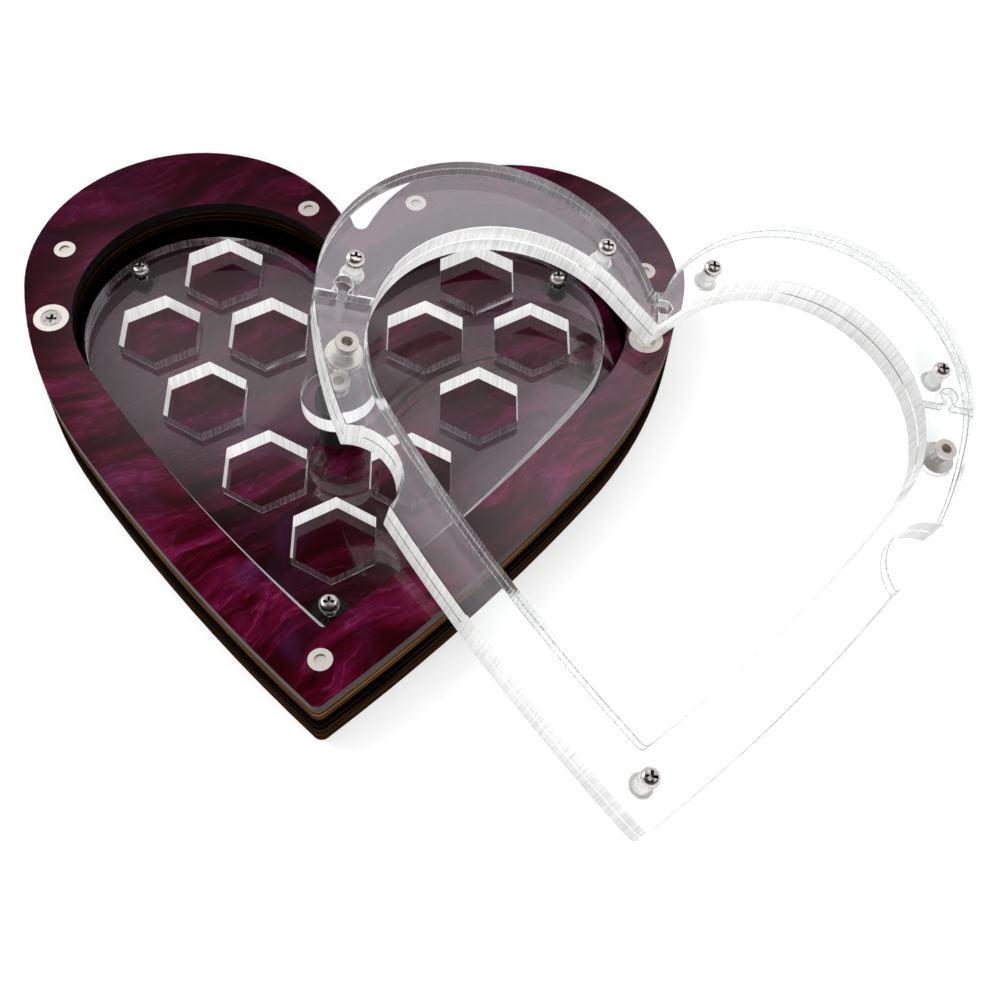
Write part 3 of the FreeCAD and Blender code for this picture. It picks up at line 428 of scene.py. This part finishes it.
# %% Middles of loose solids
def middles(node):
    """The middle of each loose solid of a node, such as one screw of a set."""
    mesh = nodes[node].data
    parent = list(range(len(mesh.vertices)))

    def root(k):
        while parent[k] != k:
            parent[k] = parent[parent[k]]
            k = parent[k]
        return k

    same = {}
    for vertex in mesh.vertices:
        key = tuple(round(c / (0.001 * MM)) for c in vertex.co)
        parent[root(vertex.index)] = root(same.setdefault(key, vertex.index))
    for edge in mesh.edges:
        a, b = (root(k) for k in edge.vertices)
        parent[a] = b
    groups = {}
    for vertex in mesh.vertices:
        groups.setdefault(root(vertex.index), []).append(vertex.co)
    found = []
    for points in groups.values():
        low = Vector(min(p[k] for p in points) for k in range(3))
        high = Vector(max(p[k] for p in points) for k in range(3))
        found.append((low + high) / 2)
    return found


ring_holes = middles("ring_nuts")
plate_holes = middles("insert_screws")
print("ring holes:", len(ring_holes), "plate holes:", len(plate_holes))

# %% [markdown]
# The ring's nuts look frosty through the sheet, so the walls of their holes get the rough
# finish of a drilled hole. Round the plate's screws the walls keep the clear one.

# %% Clear plate, disc and ring
clear_copy("insert_plate", "pocket_insert", plate_up, "level", plate_holes)
clear_copy("knob_disc", "pocket_insert", plate_up, "level")
for name in ("ring_lower_layer", "ring_upper_left", "ring_upper_right", "ring_upper_point"):
    clear_copy(name, "ring", ring_up, "leaning", ring_holes, frosted_hole)

# %% [markdown]
# The screws, nuts and magnets are steel with a bright plating. A metal's colour is its
# reflection, so these get a pale base, full metallic, and some roughness that a fine noise
# varies, as handling does. Plating in a nook or a drive mirrors only its own dark walls, so
# nooks are darkened, which is painted shade. The floor's magnets get a dark copy of the
# plating, a painted dark reflection. The knob's post is a matt black moulded spacer with a
# fine grit, drawn a third of a millimetre coarse so that it shows.


# %% Metal and black plastic
WEAR = MM / 0.9
GRIT = MM / 3
NOOK_REACH = 0.9 * MM


def plated_steel(name, tint, low, high, alone=True):
    """Bright plating, dark in its nooks. Unless it is alone, its neighbours shade it too."""
    material, tree, out = new_material(name)
    place = add(tree, "TexCoord").outputs["Object"]
    wear = {"Scale": cells(WEAR), "Detail": 3.0}
    worn = add(tree, "TexNoise", wear, Vector=place).outputs["Fac"]
    spread = {"From Min": 0.3, "From Max": 0.7, "To Min": low, "To Max": high}
    rough = add(tree, "MapRange", spread, Value=worn).outputs[0]
    # The nooks' ambient occlusion darkens the tint: painted shade.
    reach = {"samples": 8, "only_local": alone, "Distance": NOOK_REACH}
    nook = add(tree, "AmbientOcclusion", reach).outputs["AO"]
    light = add(tree, "MapRange", {"From Min": 0.4, "From Max": 0.8}, Value=nook).outputs[0]
    tinted = {"data_type": "RGBA", "_6": colour("0a0908"), "_7": colour(tint)}
    tinted = add(tree, "Mix", tinted, Factor=light).outputs[2]
    shader = add(tree, "BsdfPrincipled", {"Metallic": 1.0}, Base_Color=tinted, Roughness=rough)
    tree.links.new(shader.outputs[0], out.inputs["Surface"])
    return material


nut = plated_steel("nickel_plated_steel_nut", "f2eee4", 0.4, 0.52)
# In the rim, the nut's neighbours darken it too: painted shade.
nut_in_rim = plated_steel("nickel_plated_steel_nut_in_rim", "f2eee4", 0.4, 0.52, alone=False)
screw = plated_steel("zinc_plated_steel_screw", "e0ddd7", 0.22, 0.34)
magnet = plated_steel("nickel_plated_magnet", "f0ece2", 0.4, 0.52)
# The floor's magnets get a dark copy of the plating: a painted dark reflection.
shaded_magnet = plated_steel("nickel_plated_magnet_painted_dark", "3a3335", 0.2, 0.3)
dress(nut, "knob_nut", "ring_nuts", "ring_magnet_nuts", "case_screws")
dress(nut_in_rim, "rim_nuts")
dress(screw, "rim_magnet_screws", "insert_screws", "knob_screw")
dress(screw, "ring_screws", "ring_magnet_screws")
dress(magnet, "rim_magnets", "ring_magnets")
dress(shaded_magnet, "floor_magnets")

material, tree, out = new_material("matt_black_nylon")
place = add(tree, "TexCoord").outputs["Object"]
grit = add(tree, "TexNoise", {"Scale": cells(GRIT), "Detail": 2.0}, Vector=place)
nylon = {"Base Color": colour("0b0b0c"), "Roughness": 0.4, "IOR": 1.53}
shader = add(tree, "BsdfPrincipled", nylon)
bump = add(tree, "Bump", {"Strength": 0.2, "Distance": 0.05 * MM}, Height=grit.outputs["Fac"])
tree.links.new(bump.outputs[0], shader.inputs["Normal"])
tree.links.new(shader.outputs[0], out.inputs["Surface"])
dress(material, "knob_post")
print("metal and post finished")

# %% [markdown]
# The floor is plain and pale. To the camera, and in reflections and through the clear
# parts, a little light of its own lifts it to paper white, while the lamps' shadows still
# show on it. It ends where the lamps' light does, before it would turn grey.

# %% Floor
FLOOR_WIDTH = 1.5
PAPER_GLOW = 0.18
GLASS_GAIN = 1.9
bpy.ops.object.select_all(action="DESELECT")
bpy.ops.mesh.primitive_plane_add(size=FLOOR_WIDTH, location=(0, 0, 0))
floor = bpy.context.object
floor.name = "floor"
material, tree, out = new_material("pale_floor")
rays = add(tree, "LightPath")
direct, glossy = (rays.outputs["Is %s Ray" % kind] for kind in ("Camera", "Glossy"))
seen = add(tree, "Math", {"operation": "ADD"}, _0=direct, _1=glossy).outputs[0]
gain = {"operation": "MULTIPLY", "_1": GLASS_GAIN}
through = add(tree, "Math", gain, _0=rays.outputs["Is Transmission Ray"]).outputs[0]
seen = add(tree, "Math", {"operation": "MAXIMUM"}, _0=seen, _1=through).outputs[0]
paper = add(tree, "BsdfDiffuse", {"Color": colour("fafafa")}).outputs[0]
lift = add(tree, "Math", {"operation": "MULTIPLY", "_1": PAPER_GLOW}, _0=seen).outputs[0]
glow = add(tree, "Emission", {"Color": (1, 1, 1, 1)}, Strength=lift).outputs[0]
both = add(tree, "AddShader", _0=paper, _1=glow).outputs[0]
tree.links.new(both, out.inputs["Surface"])
floor.data.materials.append(material)
print("floor laid")

# %% [markdown]
# The studio is what the sheets mirror: white low down all round, nearly black overhead, and
# three soft panels where the photographed sheets show a veil of light. Straight to the
# camera it is plain white. As a light it is dimmer and even, so that the lamps draw the form.

# %% Studio
SKY_LIGHT = 0.42
world = bpy.data.worlds.new("studio")
bpy.context.scene.world = world
world.use_nodes = True
tree = world.node_tree
tree.nodes.clear()
out = tree.nodes.new("ShaderNodeOutputWorld")
direction = add(tree, "TexCoord").outputs["Generated"]


def soft_panel(azimuth, elevation, width, height, level, soft):
    """A glowing panel by its direction, half sizes and soft margin in degrees."""
    a, e = math.radians(azimuth), math.radians(elevation)
    ahead = Vector((math.sin(a) * math.cos(e), math.cos(a) * math.cos(e), math.sin(e)))
    across = Vector((math.cos(a), -math.sin(a), 0))
    upward = across.cross(ahead)
    share = {"operation": "DOT_PRODUCT", "_1": ahead}
    glow = add(tree, "VectorMath", share, _0=direction).outputs["Value"]
    glow = add(tree, "Math", {"operation": "GREATER_THAN", "_1": 0.0}, _0=glow).outputs[0]
    for axis, half in ((across, width), (upward, height)):
        share = {"operation": "DOT_PRODUCT", "_1": axis}
        off = add(tree, "VectorMath", share, _0=direction).outputs["Value"]
        off = add(tree, "Math", {"operation": "ABSOLUTE"}, _0=off).outputs[0]
        span = {"interpolation_type": "SMOOTHSTEP", "To Min": 1.0, "To Max": 0.0}
        span["From Min"] = math.sin(math.radians(half - soft))
        span["From Max"] = math.sin(math.radians(half + soft))
        side = add(tree, "MapRange", span, Value=off).outputs[0]
        glow = add(tree, "Math", {"operation": "MULTIPLY"}, _0=glow, _1=side).outputs[0]
    return add(tree, "Math", {"operation": "MULTIPLY", "_1": level}, _0=glow).outputs[0]


height = add(tree, "SeparateXYZ", Vector=direction).outputs["Z"]
backdrop = {"interpolation_type": "SMOOTHSTEP", "To Min": 1.0, "To Max": 0.03}
backdrop["From Min"], backdrop["From Max"] = 0.36, 0.64
studio = add(tree, "MapRange", backdrop, Value=height).outputs[0]
for panel in (
    soft_panel(38, 56, 20, 8.5, 1.95, 4.0),
    soft_panel(-1, 51.5, 14.5, 3.8, 1.0, 3.5),
    soft_panel(7, 53, 8, 3.5, 1.0, 2.5),
):
    studio = add(tree, "Math", {"operation": "MAXIMUM"}, _0=studio, _1=panel).outputs[0]
rays = add(tree, "LightPath")
level = studio
for kind, strength in (("Camera", 1.0), ("Diffuse", SKY_LIGHT)):
    chosen = {"data_type": "FLOAT", "_3": strength}
    factor = rays.outputs["Is %s Ray" % kind]
    level = add(tree, "Mix", chosen, Factor=factor, _2=level).outputs[0]
tints = {"data_type": "RGBA", "_6": (1, 1, 1, 1), "_7": colour("fff8ff")}
tint = add(tree, "Mix", tints, Factor=rays.outputs["Is Glossy Ray"]).outputs[2]
sky = add(tree, "Background", Color=tint, Strength=level).outputs[0]
tree.links.new(sky, out.inputs["Surface"])
print("studio hung")

# %% [markdown]
# Three soft lamps, left, back and front, draw the form. Only the left one is mirrored, most
# of all by the nuts, and none shows through the clear sheets, where it would make a false
# veil.


# %% Lamps
LIT_MIDDLE = (0.04, -0.05, 0.01)


def lamp(name, place, width, power, mirrored=False):
    """A square soft lamp at a place, in metres, that points at the tray, mirrored or not."""
    data = bpy.data.lights.new(name, "AREA")
    data.size = width
    data.energy = power
    thing = bpy.data.objects.new(name, data)
    bpy.context.scene.collection.objects.link(thing)
    thing.location = place
    aim = Vector(LIT_MIDDLE) - Vector(place)
    thing.rotation_euler = aim.to_track_quat("-Z", "Y").to_euler()
    thing.visible_glossy = mirrored
    thing.visible_transmission = False


lamp("soft_lamp_left", (-0.7, 0.35, 0.9), 0.7, 5.0, mirrored=True)
lamp("soft_lamp_back", (0.5, 0.8, 0.8), 0.6, 3.5)
lamp("soft_lamp_front", (0.1, -0.95, 0.6), 0.6, 8.0)
print("lamps lit")

# %% [markdown]
# The camera stands high in front, where the photograph's did. Its turn is built from
# three plain rotations, and the lens is given by how many picture widths away it looks.

# %% Camera
PICTURE = 1000
FOCAL_PIXELS = 1395.12
roll, pan, pitch = (math.radians(v) for v in (1.870, -1.671, 146.831))
turn = Matrix.Rotation(roll, 3, "Z") @ Matrix.Rotation(pan, 3, "Y") @ Matrix.Rotation(pitch, 3, "X")
flip = Matrix(((1, 0, 0), (0, -1, 0), (0, 0, -1)))
data = bpy.data.cameras.new("camera")
data.sensor_width = 36.0
data.lens = FOCAL_PIXELS * data.sensor_width / PICTURE
data.clip_start = 0.01
camera = bpy.data.objects.new("camera", data)
bpy.context.scene.collection.objects.link(camera)
camera.matrix_world = Matrix.Translation(VIEWER) @ (turn.transposed() @ flip).to_4x4()
bpy.context.scene.camera = camera
print("lens", round(data.lens, 2), "mm")

# %% Finish
bpy.context.scene.view_settings.view_transform = "Standard"
